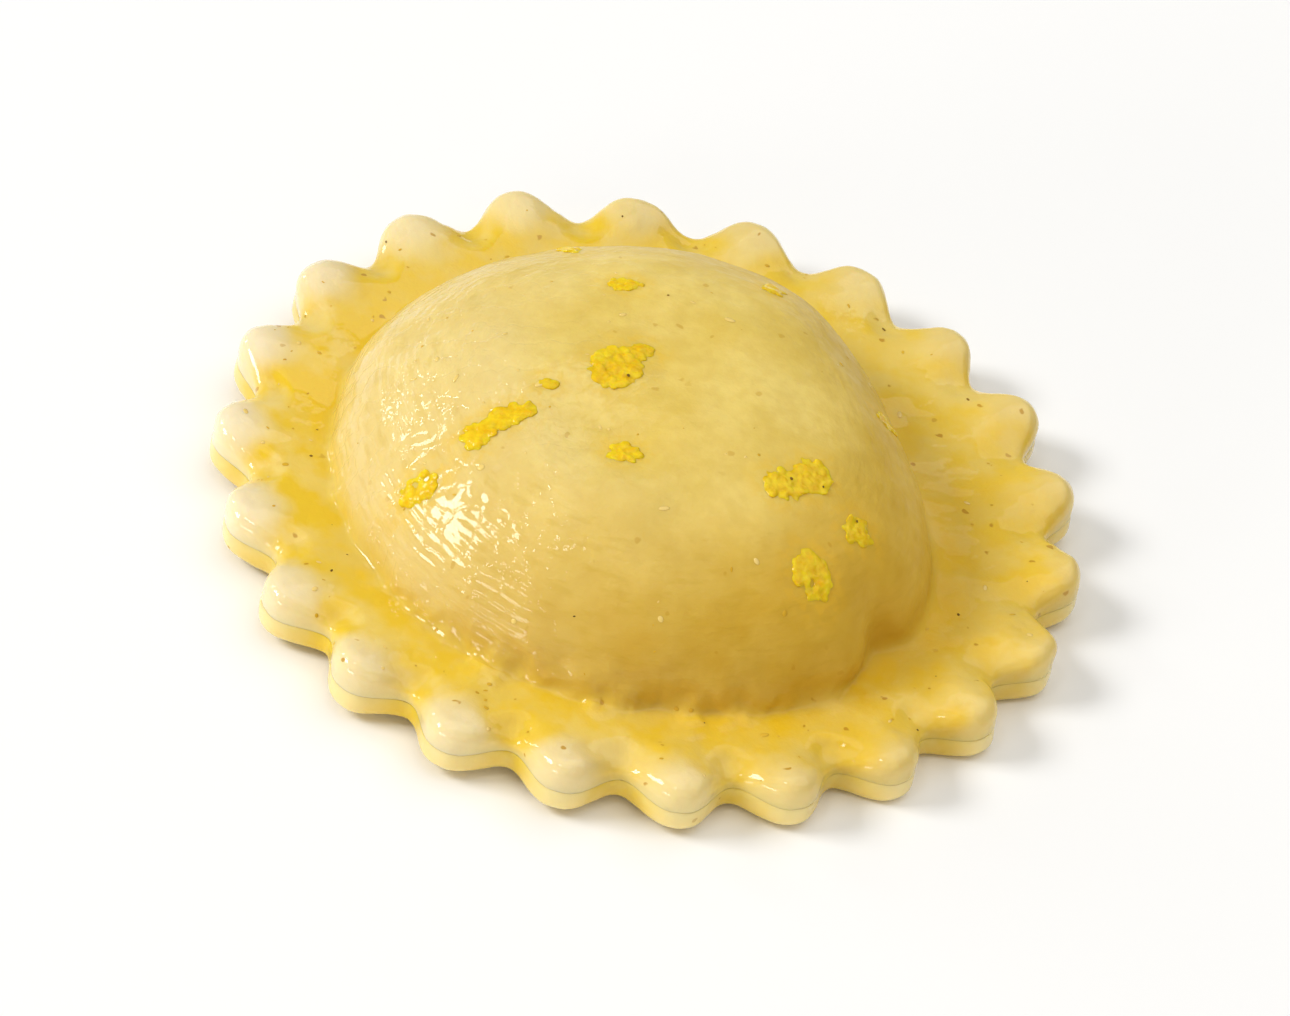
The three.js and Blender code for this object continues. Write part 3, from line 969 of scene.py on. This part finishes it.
# %% Colour of the dough
def dough_colour(p, streaks, tip_colour):
    """Mottled dough, painted shade on the walls and far side, painted light on the left, pale tips with
    painted light, pooled butter, streaks, flecks and juice.
    """
    dough = p.mixed(p.between(p.noise(6, 3), 0.35, 0.65), linear("#E2C562"), linear("#ECD276"))
    grain = p.times(p.between(p.noise(1.4, 4), 0.36, 0.66), p.here["mound"], 0.25)
    grained = p.mixed(grain, dough, linear("#D2AE48"))
    # Painted shade: the lower walls away from the window go a darker, deeper yellow.
    painted_wall_shade_here = p.times(p.here["painted_wall_shade"], p.between(p.noise(5, 3), 0.3, 0.7, 0.6, 1.0))
    buttered = p.mixed(painted_wall_shade_here, grained, linear("#CBA226"))
    # Painted light: the slack left side, towards the window, is made lighter.
    pale = p.mixed(p.times(p.here["wrinkled"], 0.45), buttered, linear("#EAD49A"))
    # The tips are lighter, partly painted light on the side towards the window.
    tips = p.mixed(p.here["rim"], pale, linear(tip_colour))
    patches = p.between(p.noise(3.6, 3), 0.36, 0.64, 0.45, 1.2)
    pooled = p.mixed(p.times(p.here["butter"], patches), tips, linear("#E9C326"))
    streaked = p.mixed(p.between(streaks, 0.5, 0.68, 0, 0.25), pooled, linear("#C9A638"))
    crumbs = p.cells(2.1, "F1")
    fleck = p.times(p.between(crumbs["Distance"], 0.09, 0.15, 1, 0), p.between(crumbs["Color"], 0.45, 0.6),
                    p.between(p.here["mound"], 0, 1, 0.85, 0.4))
    flecked = p.mixed(fleck, streaked, linear("#BF8F20"))
    juice = p.times(p.here["zest_stain"], p.between(p.noise(0.9, 2), 0.42, 0.6, 0.25, 0.75))
    juicy = p.mixed(juice, flecked, linear("#E8C044"))
    # Painted shade: the side turned away from the window is multiplied darker and deeper yellow.
    return p.mixed(p.here["painted_shade_side"], juicy, linear("#FBF1C4"), "MULTIPLY")


# %% [markdown]
# ### The film of butter
# Melted butter covers the dough as a thin clear coat with the refractive index of fat, about 1.46. It lies
# in pebbles, ripples and still patches parted by creases, so the gloss breaks up into crisp islands. These
# are hundredths of a millimetre high, too fine for the mesh, so they are a bump on the coat alone. A wave
# texture makes the ripples: at scale 1 its bands repeat each tenth of pi.

# %% Relief of the butter film, in millimetres
WAVE_PERIOD = math.pi / 10


def film_height(p):
    """Pebbles where the film is open, creases, and rings of ripples where the sheet is wrinkled."""
    still = p.between(p.here["still_film"], 0.2, 0.7, 1, 0)
    some = p.between(p.noise(6), 0.46, 0.54)
    ring_zone = p.times(p.here["wrinkled"], some, p.between(still, 0, 1, 0.15, 1))
    ring_zone = p.combined("MAXIMUM", ring_zone, p.here["rippled"])
    no_rings = p.between(ring_zone, 0, 0.6, 1, 0.1)
    open_film = p.times(p.between(p.noise(3.4, 1), 0.46, 0.54, 1, 0), no_rings, still)
    pebbles = p.times(p.noise(0.85, 1), open_film, p.between(p.here["mound"], 0, 1, 0.35, 1), 0.06)
    to_edge = p.cells(2.6, "DISTANCE_TO_EDGE")["Distance"]
    creases = p.times(p.between(to_edge, 0, 0.07), p.here["mound"], 0.03)
    rings = node(p.tree, "TexWave", {"bands_direction": "Z"}, {
        "Vector": p.skin, "Scale": WAVE_PERIOD / (0.8 * MM), "Distortion": 7.0, "Detail": 2.0,
        "Detail Scale": 0.5}).outputs["Fac"]
    return p.combined("ADD", pebbles, creases, p.times(rings, ring_zone, 0.07))


# %% Buttered pasta
def dough_material(name, tip_colour):
    tree, shader, material = new_material(
        name, IOR=1.45, Specular_IOR_Level=0.08, Subsurface_Weight=0.4, Subsurface_Scale=1.2 * MM,
        Coat_Roughness=0.025, Coat_IOR=1.46)
    shader.inputs["Subsurface Radius"].default_value = (1.0, 0.76, 0.3)
    p = Patterns(tree)
    streaks = dough_streaks(p)
    skin_height = p.combined("ADD", p.times(streaks, 0.10), p.times(p.noise(0.6, 2), 0.05))
    looks = {"Base Color": dough_colour(p, streaks, tip_colour), "Coat Weight": p.here["gloss"],
             "Roughness": p.between(p.noise(1.2, 2), 0.35, 0.65, 0.38, 0.54),
             "Normal": p.bump(skin_height), "Coat Normal": p.bump(film_height(p))}
    for socket, value in looks.items():
        tree.links.new(value, shader.inputs[socket])
    print(name, len(tree.nodes), "nodes")
    return material


give(pasta_top, dough_material("buttered egg pasta", "#F4E4BE"))
give(pasta_base, dough_material("cut pasta edge", "#FAE19A"))


# %% [markdown]
# ### Lemon zest, ground spice and melted butter
# Zest is the coloured skin of the lemon, a strong warm yellow, waxy and a little see-through, with a noise
# for its shreds. Ground spice is dry and dark. Cooled drops of butter are cloudy, close to the colour of the
# dough under them, and as glossy as glass, so that they show mostly by their glints.

# %% Helpers for the small pieces
def own_noise(tree, size_mm, detail):
    """A noise in the piece's own coordinates."""
    place = node(tree, "TexCoord").outputs["Object"]
    inputs = {"Vector": place, "Scale": per_mm(size_mm), "Detail": detail}
    return node(tree, "TexNoise", {}, inputs).outputs["Fac"]


def ramp(tree, value, low, dark, high, light):
    """A colour between two tones, by a value between two numbers."""
    tint = node(tree, "ValToRGB", {}, {"Fac": value})
    first, last = tint.color_ramp.elements
    first.position, first.color = low, linear(dark)
    last.position, last.color = high, linear(light)
    return tint.outputs["Color"]


# %% Zest
def zest_material():
    tree, shader, material = new_material(
        "grated lemon zest", Roughness=0.45, IOR=1.45, Specular_IOR_Level=0.05, Subsurface_Weight=0.55,
        Subsurface_Scale=0.8 * MM, Coat_Weight=0.4, Coat_Roughness=0.06, Coat_IOR=1.46)
    shader.inputs["Subsurface Radius"].default_value = (1.0, 0.6, 0.1)
    shreds = own_noise(tree, 0.8, 3)
    colour = ramp(tree, shreds, 0.3, "#E8B10A", 0.7, "#F8CF20")
    tree.links.new(colour, shader.inputs["Base Color"])
    rough = node(tree, "Bump", {}, {"Height": shreds, "Strength": 0.4, "Distance": 0.15 * MM})
    tree.links.new(rough.outputs["Normal"], shader.inputs["Normal"])
    return material


give(zest_clumps, zest_material())


# %% Zest dust and spice
def speck_material(name, dark, light, roughness):
    tree, shader, material = new_material(name, Roughness=roughness, IOR=1.45, Specular_IOR_Level=0.2)
    colour = ramp(tree, own_noise(tree, 3.0, 4), 0.38, dark, 0.62, light)
    tree.links.new(colour, shader.inputs["Base Color"])
    return material


give(zest_dust, speck_material("fine zest dust", "#C99A20", "#DDB236", 0.5))
give(spice_specks, speck_material("ground spice", "#5C4416", "#8F6C20", 0.65))


# %% Melted butter
def butter_material():
    tree, shader, material = new_material(
        "melted butter drops", Roughness=0.3, IOR=1.46, Specular_IOR_Level=0.1, Coat_Weight=1.0,
        Coat_Roughness=0.02, Coat_IOR=1.46)
    colour = ramp(tree, own_noise(tree, 1.2, 2), 0, "#ECCD78", 1, "#E9C866")
    tree.links.new(colour, shader.inputs["Base Color"])
    return material


give(butter_drops, butter_material())

# %% [markdown]
# ## Table, light and camera
# The floor is plain and white, and lies a hair below the pasta. A soft window-like light on the left makes
# the broken highlight on the dome and leaves the front in shade. Two narrower ones beside it draw the thin
# highlights on the scallops and on the lower wall. A wide one overhead, behind on the right, keeps the top
# and the right side readable. A small one makes the sparkles on the front shoulder, and a warm fill and a
# white world soften the shade. The camera stands not quite half a metre away and a little over forty
# degrees above the table, tipped by thirteen.

# %% Floor
FLOOR_SIZE = 6.0
FLOOR_DROP = 0.02 * MM
deselect_all()
bpy.ops.mesh.primitive_plane_add(size=FLOOR_SIZE, location=(0, 0, -FLOOR_DROP))
floor = bpy.context.object
floor.name = "white_table"
tree, shader, material = new_material("matt white table", Roughness=0.9)
shader.inputs["Base Color"].default_value = linear("#FBFBFB")
give(floor, material)


# %% Lights: azimuth and elevation in degrees, width and height in metres, power in watts, colour
LIGHT_DISTANCE = 2.7
LIGHTS = {
    "window_left": [190, 38, 1.05, 0.8, 40, "#FFFFFF"],
    "overhead_soft": [40, 70, 3.4, 3.4, 36, "#FFFFFF"],
    "window_edge": [152, 23, 0.25, 0.8, 5, "#FFFFFF"],
    "window_low": [235, 9, 1.0, 0.5, 13, "#FFFFFF"],
    "overhead_glint": [225, 66, 0.3, 0.3, 3, "#FFFFFF"],
    "warm_fill": [305, 25, 1.6, 1.6, 7, "#FFE8B0"],
}


def soft_light(name, azimuth, elevation, width, height, power, colour):
    """A rectangular light that faces the ravioli. Azimuth is anticlockwise from +X, in degrees."""
    a, e = math.radians(azimuth), math.radians(elevation)
    place = Vector((math.cos(a) * math.cos(e), math.sin(a) * math.cos(e), math.sin(e))) * LIGHT_DISTANCE
    deselect_all()
    bpy.ops.object.light_add(type="AREA", location=place)
    light = bpy.context.object
    light.name = name
    light.rotation_mode = "QUATERNION"
    light.rotation_quaternion = place.to_track_quat("Z", "Y")
    light.data.shape = "RECTANGLE"
    light.data.size, light.data.size_y = width, height
    light.data.energy = power
    light.data.color = linear(colour)[:3]


for name, values in LIGHTS.items():
    soft_light(name, *values)
print("lights:", list(LIGHTS))
world = bpy.data.worlds.new("white_room")
bpy.context.scene.world = world
world.use_nodes = True
background = world.node_tree.nodes["Background"]
background.inputs["Color"].default_value = linear("#FFFEFA")
background.inputs["Strength"].default_value = 0.28
bpy.context.scene.view_settings.view_transform = "Standard"

# %% Camera
CAMERA_AT = Vector((6.5, -343.45, 306.2)) * MM
CAMERA_AIM = Vector((-0.3, -2.6, 4.0)) * MM
CAMERA_ROLL = -12.6
LENS, SENSOR = 162, 36
deselect_all()
bpy.ops.object.camera_add(location=CAMERA_AT)
camera = bpy.context.object
bpy.context.scene.camera = camera
camera.data.lens, camera.data.sensor_width = LENS, SENSOR
forward = (CAMERA_AIM - CAMERA_AT).normalized()
level_right = forward.cross(Vector((0, 0, 1))).normalized()
level_up = level_right.cross(forward)
roll = math.radians(CAMERA_ROLL)
right = level_right * math.cos(roll) - level_up * math.sin(roll)
up = level_right * math.sin(roll) + level_up * math.cos(roll)
camera.rotation_mode = "QUATERNION"
camera.rotation_quaternion = Matrix((right, up, -forward)).transposed().to_quaternion()
print("camera", round((CAMERA_AT - CAMERA_AIM).length, 3), "m away, looking down",
      round(math.degrees(math.asin(-forward.z)), 1), "degrees")
